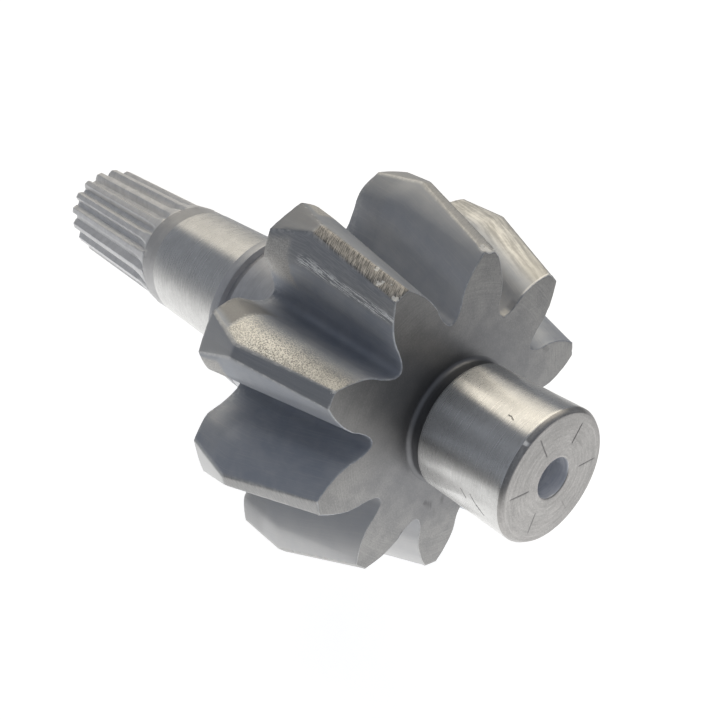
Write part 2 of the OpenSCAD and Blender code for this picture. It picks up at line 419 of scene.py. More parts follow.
def spline_section():
    """Angle of each column and cut radius of the spline spaces, without their run-out."""
    root = SPLINE_R - SPLINE_DEPTH
    pitch_r = SPLINE_R - SPLINE_DEPTH * 0.4
    base = pitch_r * math.cos(math.radians(SPLINE_ANGLE))
    r = np.linspace(root, SPLINE_R + 0.5, 40)
    half = math.pi / 2 / SPLINE_TEETH + involute(pitch_r, base) - involute(r, base)
    gap = math.pi / SPLINE_TEETH - half
    tip_gap = np.interp(SPLINE_R, r, gap)
    pitch = math.pi / SPLINE_TEETH
    a = np.concatenate([
        np.linspace(0, gap[0] * 0.92, 3),
        np.linspace(gap[0] * 1.02, tip_gap * 0.97, 4),
        [tip_gap * 1.03],
        np.linspace(tip_gap * 1.12, pitch, SPLINE_HALF_N - 7),
    ])
    r_col = np.interp(a, gap, r, left=root, right=SPLINE_R + 3)
    r_pitch = np.concatenate([r_col, r_col[-2:0:-1]])
    a_pitch = np.concatenate([a, 2 * pitch - a[-2:0:-1]])
    start = math.radians(SPLINE_PHASE) - pitch
    turns = np.arange(SPLINE_TEETH)[:, None] * 2 * pitch
    return np.tile(r_pitch, SPLINE_TEETH), (a_pitch[None, :] + turns).ravel() + start


def splined_end(strip):
    """Taper, spline with its run-outs, end chamfer and turning centre."""
    cut, angle = spline_section()
    full_z = SPLINE_Z - SPLINE_DEPTH
    rise = SPLINE_DEPTH + 2 * (REAR_R - SPLINE_R)
    reach = math.sqrt(2 * CUTTER_R * rise - rise * rise)
    stations = np.concatenate([
        [TAPER_Z],
        np.linspace(TAPER_Z - 0.6, full_z, 26),
        np.linspace(full_z - 3, END_Z + SPLINE_CHAMFER + 0.1, 8),
        np.linspace(END_Z + SPLINE_CHAMFER - 0.1, END_Z, 4),
    ])
    for z in stations:
        blank = np.interp(z, [END_Z, END_Z + SPLINE_CHAMFER, SPLINE_Z, TAPER_Z],
                          [SPLINE_R - SPLINE_CHAMFER, SPLINE_R, SPLINE_R, REAR_R])
        ahead = min(max(0, z - full_z), reach)
        lift = CUTTER_R - math.sqrt(CUTTER_R**2 - ahead**2)
        strip.add(SPLINE, np.minimum(blank, cut + lift), angle, z)
    for r in (10.5, 8.0, 6.0, CENTRE_MOUTH_R):
        strip.add(END, r, angle, END_Z)
    mouth = (CENTRE_MOUTH_R - CENTRE_R) / math.tan(math.radians(CENTRE_ANGLE))
    strip.add(HOLE, CENTRE_R, angle, END_Z + mouth)
    strip.add(HOLE, CENTRE_R, angle, END_Z + CENTRE_DEPTH)
    strip.add(HOLE, AXIS_R, angle, END_Z + CENTRE_DEPTH + 1.2)


# Marks as pairs of ends. On the end face: radius and angle of both ends, half width and strength
FACE_MARKS = (
    (10.3, 197.9, 5.9, 196.9, 0.13, 0.8),
    (10.0, 137.8, 6.5, 138.2, 0.15, 0.9),
    (10.6, 78.5, 6.6, 77.8, 0.14, 0.7),
    (6.3, 259.4, 10.3, 258.3, 0.14, 0.75),
    (6.6, 317.0, 10.0, 321.3, 0.15, 0.6),
    (6.8, 18.5, 9.4, 19.5, 0.14, 0.25),
)

# On the front journal: distance from the small-end face and angle of both ends
JOURNAL_MARKS = (
    (16.1, 196.2, 17.4, 199.0, 0.13, 0.85),
    (13.4, 268.0, 14.5, 274.5, 0.11, 0.7),
    (15.6, 268.0, 16.9, 275.5, 0.11, 0.75),
    (16.9, 275.5, 18.3, 281.5, 0.17, 0.95),
)

# On the small-end face of the teeth: radius and angle of both ends
TOE_MARKS = (
    (22.0, 108.0, 24.6, 98.5, 0.3, 0.35),
    (17.0, 325.0, 17.6, 331.0, 0.5, 0.5),
    (15.9, 337.0, 16.6, 341.0, 0.45, 0.5),
    (18.9, 334.0, 19.9, 337.0, 0.35, 0.35),
    (23.4, 317.5, 25.0, 318.0, 0.3, 0.55),
)


def near_segment(x, y, x1, y1, x2, y2):
    """Distance from points to a straight line between two ends."""
    dx = x2 - x1
    dy = y2 - y1
    along_it = np.clip(((x - x1) * dx + (y - y1) * dy) / (dx * dx + dy * dy), 0, 1)
    return np.hypot(x - x1 - along_it * dx, y - y1 - along_it * dy)


def flat_marks(r, a, marks):
    """Strength of marks on a face across the axis."""
    x = r * np.cos(a)
    y = r * np.sin(a)
    total = np.zeros(r.shape)
    for r1, a1, r2, a2, width, strength in marks:
        a1, a2 = math.radians(a1), math.radians(a2)
        ends = (r1 * math.cos(a1), r1 * math.sin(a1), r2 * math.cos(a2), r2 * math.sin(a2))
        away = near_segment(x, y, *ends)
        total = np.maximum(total, strength * (1 - smooth(width * 0.5, width * 1.4, away)))
    return total


MARK_DEPTH = 0.06

# Bright nick on the front chamfer: distance from the small-end face and angle
NICK_Z = 21.55
NICK_ANGLE = 209.2


def nick_strength(r, a, z, zone):
    """Strength of the bright nick on the front chamfer."""
    along_it = np.hypot((a - math.radians(NICK_ANGLE)) * r, (z - NICK_Z) * 0.7)
    return np.where(zone == END, 1 - smooth(0.25, 0.55, along_it), 0.0)


def dent_front(strip):
    """Presses the marks into the end face and the small-end face of the teeth."""
    r, a, z, height, across = strip.arrays()
    zone = np.array(strip.zone)[:, None]
    mark = np.where((zone == END) & (z == FRONT_Z), flat_marks(r, a, FACE_MARKS), 0.0)
    mark = np.where((zone == FACE) & (z == 0.0), flat_marks(r, a, TOE_MARKS), mark)
    return np.array([r, a, z - mark * MARK_DEPTH, height, across]), mark


def add_values(mesh, name, values):
    layer = mesh.attributes.new(name, "FLOAT", "POINT")
    layer.data.foreach_set("value", np.ascontiguousarray(values, np.float32).ravel())


def strip_object(name, strip, rows):
    """Mesh of quads between the rings of a strip, with the zone of each ring as its material."""
    r, a, z, height, across = rows
    rings, columns = r.shape
    points = np.stack([r * np.cos(a), r * np.sin(a), z], axis=2).reshape(-1, 3) * MM
    points = points @ np.array(lying.to_3x3()).T + np.array(lying.translation)
    base = np.arange(rings - 1)[:, None] * columns
    here = np.arange(columns)[None, :]
    after = (here + 1) % columns
    quads = np.stack([base + here, base + columns + here, base + columns + after, base + after], axis=2)
    quads = quads.reshape(-1, 4)
    caps = [list(range(columns)), list(range((rings - 1) * columns, rings * columns))[::-1]]
    mesh = bpy.data.meshes.new(name)
    mesh.from_pydata(points.tolist(), [], quads.tolist() + caps)
    zones = np.repeat(np.array(strip.zone[1:]), columns)
    mesh.polygons.foreach_set("material_index", np.append(zones, [HOLE, HOLE]).astype(np.int32))
    mesh.polygons.foreach_set("use_smooth", np.ones(len(mesh.polygons), bool))
    add_values(mesh, "height", height)
    add_values(mesh, "across", across)
    piece = bpy.data.objects.new(name, mesh)
    bpy.context.scene.collection.objects.link(piece)
    weighted = piece.modifiers.new("even faces", "WEIGHTED_NORMAL")
    weighted.weight = 90
    weighted.keep_sharp = True
    return piece


# Strength of each look on whole teeth: what most teeth have, and the teeth that differ
TOOTH_LOOKS = {
    "hatched": (0.35, {TORN_TOOTH: 1.0, GRITTY_TOOTH: 0.05}),
    "bare": (0.7, {TORN_TOOTH: 0.2, GRITTY_TOOTH: 0.0}),
    "rusty_and_lit": (0.1, {TORN_TOOTH: 1.0, GRITTY_TOOTH: 0.9}),
    "crowned": (0.4, {TORN_TOOTH: 1.0, SIDE_TOOTH: 0.0}),
}

# Strength of each look on single flanks, by tooth and side
FLANK_LOOKS = {
    "pale": {(LOWER_TOOTH, -1): 1.0, (LOWEST_TOOTH, -1): 1.0, (TOP_TOOTH, 1): 0.3},
    # The dull look darkens the upper flank as painted shade and makes it rougher.
    "dull_and_shaded": {(TOP_TOOTH, 1): 0.45, (SIDE_TOOTH, -1): 0.1, (GRITTY_TOOTH, 1): 0.4, (TORN_TOOTH, -1): 0.35},
}

# Looks that one flank alone has
SOLE_LOOKS = {"glitter": (GRITTY_TOOTH, -1), "scored": (TORN_TOOTH, 1), "streaked": (BEIGE_TOOTH, 1)}

# Brightness of the worn edges, partly real wear and partly a painted highlight: the rings around the toe's
# edge, the heel's ring and the tip's creases
TOE_RIM = (0.35, 1.0, 0.15)
HEEL_RIM = 0.6
CREASE_RIM = 0.8
BRIGHT_CHIP = 0.16


def worn_highlit_rims(strip, is_crease):
    """Strength of the bright edges at the ends of the teeth and along their tips: worn, and partly a
    painted highlight.
    """
    rings = np.flatnonzero(np.array(strip.zone) == TOOTH)
    rim = np.zeros(len(strip.zone))
    rim[rings[0] - 1:rings[0] + 2] = TOE_RIM
    rim[rings[-1]] = HEEL_RIM
    return np.where(is_crease, CREASE_RIM, rim[:, None])


def tooth_values(mesh, strip, mark):
    """Where the teeth are creased, chipped, worn or scored, as values on the mesh."""
    r, a, z, height, across = strip.arrays()
    zone = np.array(strip.zone)[:, None]
    tooth = np.broadcast_to(COLUMN_TOOTH, r.shape)
    side = np.broadcast_to(COLUMN_SIDE, r.shape)
    step = np.broadcast_to(COLUMN_I, r.shape)
    is_tooth = zone == TOOTH
    chips = np.array([chip_depth(row_z.mean(), row) for row_z, row in zip(z, across)])
    add_values(mesh, "mark", mark)
    add_values(mesh, "nick", nick_strength(r, a, z, zone))
    add_values(mesh, "edge", worn_highlit_rims(strip, is_tooth & (step == CREASE_I)))
    add_values(mesh, "chip", np.where(is_tooth, np.clip(chips / BRIGHT_CHIP, 0, 1), 0))
    add_values(mesh, "land", np.where(is_tooth & (step >= CREASE_I), 1.0, 0.0))
    add_values(mesh, "number", tooth)
    for name, (common, others) in TOOTH_LOOKS.items():
        values = np.full(r.shape, common)
        for number, strength in others.items():
            values[tooth == number] = strength
        add_values(mesh, name, values)
    for name, flanks in FLANK_LOOKS.items():
        values = np.zeros(r.shape)
        for (number, flank), strength in flanks.items():
            values[(tooth == number) & (side == flank)] = strength
        add_values(mesh, name, values)
    for name, (number, flank) in SOLE_LOOKS.items():
        add_values(mesh, name, np.where(is_tooth & (tooth == number) & (side == flank), 1.0, 0.0))


def shaft_place(record):
    """Turns the part's own axis and origin into the place where it lies."""
    seat = next(m for m in record["mounts"] if m["name"] == "front_journal")
    axis = Vector(seat["axis"]).normalized()
    side = Vector((0, 1, 0))
    down = side.cross(axis)
    origin = Vector(seat["pos_m"]) - axis * SEAT_Z * MM
    place = Matrix((down, side, axis)).transposed().to_4x4()
    place.translation = origin
    return place


# Small helpers for shader nodes
def add_node(tree, kind, **values):
    node = tree.nodes.new("ShaderNode" + kind)
    for name, value in values.items():
        setattr(node, name, value)
    return node


def feed(tree, socket, value):
    if hasattr(value, "is_linked"):
        tree.links.new(value, socket)
    else:
        socket.default_value = value


def math_node(tree, operation, *values):
    node = add_node(tree, "Math", operation=operation)
    for socket, value in zip(node.inputs, values):
        feed(tree, socket, value)
    return node.outputs[0]


def ramp(tree, value, low, high, to_low=0.0, to_high=1.0):
    node = add_node(tree, "MapRange", interpolation_type="SMOOTHSTEP")
    feed(tree, node.inputs["Value"], value)
    node.inputs["From Min"].default_value = low
    node.inputs["From Max"].default_value = high
    node.inputs["To Min"].default_value = to_low
    node.inputs["To Max"].default_value = to_high
    return node.outputs["Result"]


def mix(tree, share, one, two):
    node = add_node(tree, "Mix", data_type="RGBA")
    feed(tree, node.inputs[0], share)
    feed(tree, node.inputs[6], one)
    feed(tree, node.inputs[7], two)
    return node.outputs[2]


def noise(tree, vector, scale, detail=3.0, rough=0.55):
    node = add_node(tree, "TexNoise")
    feed(tree, node.inputs["Vector"], vector)
    node.inputs["Scale"].default_value = scale
    node.inputs["Detail"].default_value = detail
    node.inputs["Roughness"].default_value = rough
    return node.outputs["Fac"]


def new_material(name):
    material = bpy.data.materials.new(name)
    material.use_nodes = True
    tree = material.node_tree
    shader = tree.nodes["Principled BSDF"]
    shader.inputs["Metallic"].default_value = 1.0
    return material, tree, shader


def vector_node(tree, operation, *values):
    node = add_node(tree, "VectorMath", operation=operation)
    for socket, value in zip(node.inputs, values):
        feed(tree, socket, value)
    return node.outputs["Value" if operation in ("DOT_PRODUCT", "DISTANCE", "LENGTH") else "Vector"]


def from_origin(tree):
    """Vector from the part's own origin, as the part lies."""
    place = add_node(tree, "TexCoord").outputs["Object"]
    return vector_node(tree, "SUBTRACT", place, lying.translation)


def vector_of(tree, x, y, z):
    node = add_node(tree, "CombineXYZ")
    for socket, value in zip(node.inputs, (x, y, z)):
        feed(tree, socket, value)
    return node.outputs[0]


def shaft_coordinates(tree):
    """Millimetres in the part's own frame: the point, its z and radius, and its unit circle point."""
    start = from_origin(tree)
    axes = lying.to_3x3().transposed()
    x, y, z = [vector_node(tree, "DOT_PRODUCT", start, axis / MM) for axis in axes]
    flat = vector_of(tree, x, y, 0.0)
    radius = vector_node(tree, "LENGTH", flat)
    return vector_of(tree, x, y, z), z, radius, vector_node(tree, "NORMALIZE", flat)


def lines_around(tree, unit, across, turns, rate):
    """Coordinates in which noise is drawn out into lines around the axis."""
    circle = vector_node(tree, "MULTIPLY", unit, (turns, turns, turns))
    return vector_node(tree, "ADD", circle, vector_of(tree, 0.0, 0.0, times(tree, across, rate)))


def bump(tree, shader, height, strength, distance):
    node = add_node(tree, "Bump")
    node.inputs["Strength"].default_value = strength
    node.inputs["Distance"].default_value = distance * MM
    tree.links.new(height, node.inputs["Height"])
    tree.links.new(node.outputs[0], shader.inputs["Normal"])


def value_of(tree, name):
    return add_node(tree, "Attribute", attribute_name=name).outputs["Fac"]


def times(tree, product, *others):
    for other in others:
        product = math_node(tree, "MULTIPLY", product, other)
    return product


def plus(tree, total, *others):
    for other in others:
        total = math_node(tree, "ADD", total, other)
    return total


def less(tree, value):
    return math_node(tree, "SUBTRACT", 1.0, value)


def draw_out(tree, shader, amount):
    """Spreads reflections across lines that run around the axis, as fine grinding does."""
    shader.inputs["Anisotropic"].default_value = amount
    shader.inputs["Anisotropic Rotation"].default_value = 0.25
    around = vector_node(tree, "CROSS_PRODUCT", lying.col[2].xyz, from_origin(tree))
    turned = add_node(tree, "VectorTransform", vector_type="VECTOR")
    turned.convert_from = "OBJECT"
    turned.convert_to = "WORLD"
    tree.links.new(around, turned.inputs[0])
    tree.links.new(turned.outputs[0], shader.inputs["Tangent"])


# Colours and shares that several materials use
DARK = (0.05, 0.05, 0.055, 1)
BRIGHT = (0.9, 0.89, 0.86, 1)
WHITE = (1.0, 1.0, 1.0, 1)
MARK_SHARE = 0.85
# Direction towards which the small-end face gets painted shade
TOE_SHADED_SIDE = math.radians(224.0)


def scratch(tree, x, y, ends, width, strength):
    """Strength of a straight scratch at a point, with soft sides."""
    x1, y1, x2, y2 = ends
    dx = x2 - x1
    dy = y2 - y1
    size = dx * dx + dy * dy
    from_x = plus(tree, x, -x1)
    from_y = plus(tree, y, -y1)
    share = plus(tree, times(tree, from_x, dx / size), times(tree, from_y, dy / size))
    share = math_node(tree, "MAXIMUM", math_node(tree, "MINIMUM", share, 1.0), 0.0)
    off_x = math_node(tree, "SUBTRACT", from_x, times(tree, share, dx))
    off_y = math_node(tree, "SUBTRACT", from_y, times(tree, share, dy))
    square = plus(tree, times(tree, off_x, off_x), times(tree, off_y, off_y))
    return ramp(tree, math_node(tree, "SQRT", square), width * 0.4, width * 1.3, strength, 0.0)


GROUND_GREYS = ((0.71, 0.705, 0.69, 1), (0.78, 0.775, 0.76, 1))
GROUND_GRAIN = (0.50, 0.495, 0.48, 1)


def ground_steel():
    """Bearing journals: fine grinding lines around the axis, a few dark marks."""
    material, tree, shader = new_material("ground steel")
    shader.inputs["Metallic"].default_value = 0.88
    place, z, r, unit = shaft_coordinates(tree)
    lines = noise(tree, lines_around(tree, unit, z, 2.0, 5.0), 1.0, 4.0, 0.7)
    blotch = noise(tree, place, 0.35, 3.0)
    tint = mix(tree, ramp(tree, blotch, 0.35, 0.7), *GROUND_GREYS)
    grain = noise(tree, place, 1.6, 4.0, 0.75)
    tint = mix(tree, ramp(tree, grain, 0.5, 0.3, 0.0, 0.35), tint, GROUND_GRAIN)
    flat = add_node(tree, "SeparateXYZ")
    tree.links.new(unit, flat.inputs[0])
    turn = math_node(tree, "ARCTAN2", flat.outputs["Y"], flat.outputs["X"])
    run = times(tree, math_node(tree, "FLOORED_MODULO", turn, 2 * math.pi), FRONT_R)
    wobble = plus(tree, run, times(tree, plus(tree, noise(tree, place, 1.4, 2.0), -0.5), 0.9))
    for z1, a1, z2, a2, width, strength in JOURNAL_MARKS:
        ends = (z1, math.radians(a1) * FRONT_R, z2, math.radians(a2) * FRONT_R)
        tint = mix(tree, scratch(tree, z, wobble, ends, width, strength), tint, DARK)
    feed(tree, shader.inputs["Base Color"], tint)
    feed(tree, shader.inputs["Roughness"], ramp(tree, lines, 0.3, 0.7, 0.26, 0.31))
    draw_out(tree, shader, 1.0)
    bump(tree, shader, lines, 0.14, 0.02)
    return material


def turned_steel(name, colour, rough, facing, metal=1.0, speckle=0.1, lined=0.3, rate=3.2, nicked=False):
    """Lathe-turned surface with lines around the axis."""
    material, tree, shader = new_material(name)
    shader.inputs["Metallic"].default_value = metal
    place, z, r, unit = shaft_coordinates(tree)
    across = r if facing else z
    lines = noise(tree, lines_around(tree, unit, across, 1.6, rate), 1.0, 4.0, 0.7)
    blotch = noise(tree, place, 0.3, 4.0, 0.6)
    low = tuple(c * 0.86 for c in colour) + (1,)
    tint = mix(tree, ramp(tree, blotch, 0.3, 0.7), low, colour + (1,))
    light_line = tuple(min(1.0, c * 1.25) for c in colour) + (1,)
    dark_line = tuple(c * 0.7 for c in colour) + (1,)
    tint = mix(tree, times(tree, ramp(tree, lines, 0.5, 0.68), lined), tint, light_line)
    tint = mix(tree, times(tree, ramp(tree, lines, 0.5, 0.32), lined), tint, dark_line)
    grain = noise(tree, place, 3.0, 3.0, 0.7)
    tint = mix(tree, times(tree, ramp(tree, grain, 0.5, 0.3), speckle), tint, dark_line)
    tint = mix(tree, times(tree, ramp(tree, grain, 0.5, 0.7), speckle), tint, light_line)
    tint = mix(tree, times(tree, value_of(tree, "mark"), MARK_SHARE), tint, DARK)
    if nicked:
        nick = value_of(tree, "nick")
        tint = mix(tree, nick, tint, WHITE)
        feed(tree, shader.inputs["Metallic"], math_node(tree, "SUBTRACT", metal, nick))
    feed(tree, shader.inputs["Base Color"], tint)
    feed(tree, shader.inputs["Roughness"], ramp(tree, lines, 0.3, 0.7, rough - 0.05, rough + 0.06))
    draw_out(tree, shader, 0.3)
    bump(tree, shader, lines, 0.5, 0.05 * lined)
    return material


# Colours of the small-end face
TOE_GREYS = ((0.28, 0.278, 0.276, 1), (0.36, 0.354, 0.345, 1))
TOE_LIGHT_LINE = (0.48, 0.475, 0.46, 1)
TOE_DARK_LINE = (0.23, 0.23, 0.23, 1)
TOE_LIGHT_GRAIN = (0.50, 0.49, 0.47, 1)
TOE_DARK_GRAIN = (0.20, 0.20, 0.205, 1)
# Painted shade on the small-end face near the journal
TOE_JOURNAL_SHADE = (0.16, 0.165, 0.18, 1)
# Painted shade towards one side of the small-end face
TOE_SIDE_SHADE = (0.17, 0.168, 0.165, 1)


def toe_steel():
    """Small-end face of the teeth: turned, with painted shade around the journal and towards one side, and
    worn edges partly brightened as a painted highlight.
    """
    material, tree, shader = new_material("small-end face")
    shader.inputs["Metallic"].default_value = 0.9
    place, z, r, unit = shaft_coordinates(tree)
    lines = noise(tree, lines_around(tree, unit, r, 2.2, 4.2), 1.0, 4.0, 0.7)
    blotch = noise(tree, place, 0.25, 4.0, 0.6)
    tint = mix(tree, ramp(tree, blotch, 0.3, 0.7), *TOE_GREYS)
    outer = ramp(tree, r, 20.0, 26.0, 0.15, 0.42)
    tint = mix(tree, times(tree, ramp(tree, lines, 0.5, 0.68), outer), tint, TOE_LIGHT_LINE)
    tint = mix(tree, times(tree, ramp(tree, lines, 0.5, 0.32), outer), tint, TOE_DARK_LINE)
    grain = noise(tree, place, 3.0, 3.0, 0.7)
    tint = mix(tree, ramp(tree, grain, 0.5, 0.7, 0.0, 0.35), tint, TOE_LIGHT_GRAIN)
    tint = mix(tree, ramp(tree, grain, 0.5, 0.3, 0.0, 0.35), tint, TOE_DARK_GRAIN)
    # Painted shade: the face darkens near the journal.
    journal_shade = ramp(tree, plus(tree, r, times(tree, blotch, 4.0)), 15.0, 30.0, 0.55, 0.0)
    tint = mix(tree, journal_shade, tint, TOE_JOURNAL_SHADE)
    # Painted shade: the face darkens towards one side.
    toward = vector_node(tree, "DOT_PRODUCT", unit, (math.cos(TOE_SHADED_SIDE), math.sin(TOE_SHADED_SIDE), 0.0))
    side_shade = ramp(tree, toward, 0.55, 0.95, 0.0, 0.4)
    tint = mix(tree, side_shade, tint, TOE_SIDE_SHADE)
    tint = mix(tree, times(tree, value_of(tree, "mark"), MARK_SHARE), tint, DARK)
    breaks = ramp(tree, noise(tree, place, 0.9, 2.0), 0.35, 0.6, 0.25, 1.0)
    # Worn edges, brightened partly as a painted highlight.
    tint = mix(tree, times(tree, value_of(tree, "edge"), breaks, 0.25), tint, BRIGHT)
    feed(tree, shader.inputs["Base Color"], tint)
    feed(tree, shader.inputs["Roughness"], ramp(tree, lines, 0.3, 0.7, 0.36, 0.46))
    draw_out(tree, shader, 0.3)
    bump(tree, shader, lines, 0.5, 0.03)
    return material


# Colours of the teeth
# The blue of these greys is a painted tint of sky light in shade.
FLANK_GREYS = ((0.445, 0.47, 0.52, 1), (0.525, 0.543, 0.575, 1))
FLANK_STREAK = (0.66, 0.66, 0.65, 1)
PALE_FLANK = (0.66, 0.64, 0.605, 1)
# Painted shade on the upper part of some flanks
PAINTED_SHADE_FLANK = (0.27, 0.275, 0.28, 1)
SCORED_GREY = (0.36, 0.355, 0.35, 1)
# Painted shade towards the root, tinted blue, darkest in the root's bed
ROOT_SHADE_BLUE = (0.24, 0.27, 0.34, 1)
ROOT_BED_SHADE = (0.12, 0.13, 0.155, 1)
# Rusted heel colours, partly painted light that makes the heel lighter
RUSTS_AND_LIGHT = ((0.50, 0.48, 0.45, 1), (0.78, 0.76, 0.72, 1))
DARK_RUST = (0.27, 0.26, 0.245, 1)
# Grit with bright flakes as painted glints
GRIT_AND_GLINTS = ((0.28, 0.266, 0.243, 1), (1.0, 0.97, 0.89, 1))
# Painted warm reflection towards the large end
HEEL_WARM_REFLECTION = (1.0, 0.96, 0.87, 1)
# Painted shade towards the small end
TOE_GRIT_SHADE = (0.30, 0.295, 0.285, 1)
BEIGES = ((0.47, 0.46, 0.437, 1), (0.82, 0.805, 0.765, 1))
TOE_BEIGE = (0.46, 0.45, 0.42, 1)
BELOW_BEIGE = (0.28, 0.28, 0.285, 1)
NOTCH = (0.2, 0.2, 0.215, 1)
SMUDGE = (0.66, 0.64, 0.60, 1)
TORN_TIPS = ((0.11, 0.105, 0.096, 1), (0.52, 0.49, 0.45, 1))
PLAIN_TIPS = ((0.36, 0.37, 0.385, 1), (0.43, 0.435, 0.445, 1))
BARE_TIP = (0.66, 0.655, 0.64, 1)
CROWNS = ((0.85, 0.84, 0.81, 1), (0.27, 0.27, 0.275, 1))
SCORE_WHITE = (1.0, 1.0, 0.98, 1)
SCORE_HEIGHT = 0.77
TOOTH_METAL = 0.78


class ToothField:
    """Places on the teeth, values from the mesh and noises that the tooth steel's sections share."""

    def __init__(self, tree):
        self.tree = tree
        self.place, z, r, unit = shaft_coordinates(tree)
        self.length = times(tree, z, -1.0)
        self.height = value_of(tree, "height")
        self.across = value_of(tree, "across")
        self.number = times(tree, value_of(tree, "number"), 7.0)
        self.land = value_of(tree, "land")
        self.off_land = less(tree, self.land)
        self.dull_and_shaded = value_of(tree, "dull_and_shaded")
        self.glitter = value_of(tree, "glitter")
        self.hatched = value_of(tree, "hatched")
        self.scored = value_of(tree, "scored")
        self.grain = noise(tree, self.place, 2.4, 2.0, 0.6)
        self.grit = noise(tree, self.place, 4.2, 3.0, 0.75)
        self.patch = noise(tree, self.place, 0.25, 4.0, 0.6)
        self.streaks = noise(tree, self.stretched(0.14, 3.2), 1.0, 4.0, 0.7)
        slant = plus(tree, times(tree, self.length, 8.0), times(tree, self.across, 3.0))
        slanted = vector_of(tree, slant, times(tree, self.across, 0.5), self.number)
        self.hatch = noise(tree, slanted, 1.0, 3.0, 0.7)
        self.root = ramp(tree, self.height, 0.05, 0.5, 1.0, 0.0)
        self.cone = ramp(tree, self.length, 17.6, 18.4, 1.0, 0.0)
        self.tip = times(tree, self.land, self.cone)
        wander = plus(tree, self.length, times(tree, self.grain, 1.6))
        self.heel = times(tree, ramp(tree, wander, 22.2, 23.6), self.off_land)
        ragged = plus(tree, self.height, times(tree, plus(tree, self.grit, -0.5), 0.5))
        ahead = times(tree, less(tree, self.heel), self.off_land)
        self.bitten = times(tree, self.glitter, ahead, ramp(tree, ragged, 0.52, 0.86))

    def stretched(self, rate, over):
        """Coordinates in which noise is drawn out along the teeth."""
        tree = self.tree
        return vector_of(tree, times(tree, self.length, rate), times(tree, self.across, over), self.number)


def plain_flank(tree, tooth):
    """Grey-blue flank with fine streaks, its blue a painted tint of sky light in shade; paler by tooth,
    with painted shade on the upper part of some flanks and towards the root.
    """
    tint = mix(tree, ramp(tree, tooth.patch, 0.3, 0.7), *FLANK_GREYS)
    tint = mix(tree, ramp(tree, tooth.streaks, 0.48, 0.7, 0.0, 0.4), tint, FLANK_STREAK)
    tint = mix(tree, times(tree, value_of(tree, "pale"), 0.55), tint, PALE_FLANK)
    # Painted shade on the upper part of some flanks.
    painted_shade = times(tree, tooth.dull_and_shaded, ramp(tree, tooth.height, 0.5, 0.85, 0.0, 0.75))
    tint = mix(tree, painted_shade, tint, PAINTED_SHADE_FLANK)
    upper = times(tree, tooth.scored, ramp(tree, tooth.height, 0.66, 0.76, 0.0, 0.6), tooth.off_land)
    tint = mix(tree, upper, tint, SCORED_GREY)
    # Painted shade towards the root, darkest in its bed.
    tint = mix(tree, times(tree, tooth.root, 0.12), tint, ROOT_SHADE_BLUE)
    return mix(tree, ramp(tree, tooth.height, 0.0, 0.16, 0.25, 0.0), tint, ROOT_BED_SHADE)


def rusty_heel_and_light(tree, tooth, tint):
    """Gritty, rusted large end of the flanks, partly painted light that makes it lighter; darker on the
    glittering flank.
    """
    heel_tone = mix(tree, ramp(tree, tooth.grit, 0.35, 0.65), *RUSTS_AND_LIGHT)
    heel_tone = mix(tree, times(tree, tooth.glitter, 0.8), heel_tone, DARK_RUST)
    low = times(tree, ramp(tree, tooth.height, 0.97, 0.9), ramp(tree, tooth.height, 0.22, 0.5))
    # Painted light: the rusted heel is made lighter.
    return mix(tree, times(tree, tooth.heel, low, value_of(tree, "rusty_and_lit"), 0.9), tint, heel_tone)


def gritty_flank(tree, tooth, tint):
    """Glittering grit on one flank: bright flakes as painted glints, a painted warm reflection towards the
    large end and painted shade towards the small end.
    """
    flakes = plus(tree, tooth.grit, times(tree, plus(tree, tooth.patch, -0.5), 0.2))
    # Painted glints, a painted warm reflection towards the large end and painted shade towards the small
    # end.
    sparkle = mix(tree, ramp(tree, flakes, 0.40, 0.55), *GRIT_AND_GLINTS)
    sparkle = mix(tree, ramp(tree, tooth.length, 13.0, 20.0, 0.0, 0.35), sparkle, HEEL_WARM_REFLECTION)
    sparkle = mix(tree, ramp(tree, tooth.length, 2.0, 16.0, 0.55, 0.0), sparkle, TOE_GRIT_SHADE)
    return mix(tree, tooth.bitten, tint, sparkle)


def beige_flank(tree, tooth, tint):
    """Beige upper part of one flank, with a bright corner, a dark notch and a pale smudge at its toe."""
    height = tooth.height
    broad = noise(tree, tooth.stretched(0.17, 1.2), 1.0, 4.0)
    smears = plus(tree, times(tree, noise(tree, tooth.place, 1.3, 3.0), 0.2), times(tree, broad, 0.8))
    beige = mix(tree, ramp(tree, smears, 0.35, 0.65), *BEIGES)
    beige = mix(tree, ramp(tree, tooth.length, 2.0, 9.0, 0.5, 0.0), beige, TOE_BEIGE)
    toe = ramp(tree, tooth.length, 0.9, 1.9, 1.0, 0.0)
    notch = times(tree, toe, ramp(tree, height, 0.12, 0.15), ramp(tree, height, 0.26, 0.32, 0.5, 0.0))
    corner = times(tree, ramp(tree, tooth.length, 0.25, 0.6, 0.8, 0.0), ramp(tree, height, 0.4, 0.5))
    layers = (
        (ramp(tree, height, 0.54, 0.8), beige),
        (ramp(tree, height, 0.42, 0.66, 0.6, 0.0), BELOW_BEIGE),
        (notch, NOTCH),
        (corner, BRIGHT),
        (times(tree, toe, ramp(tree, height, 0.09, 0.13, 0.5, 0.0)), SMUDGE),
    )
    streaked = value_of(tree, "streaked")
    for share, colour in layers:
        tint = mix(tree, times(tree, streaked, share), tint, colour)
    return tint


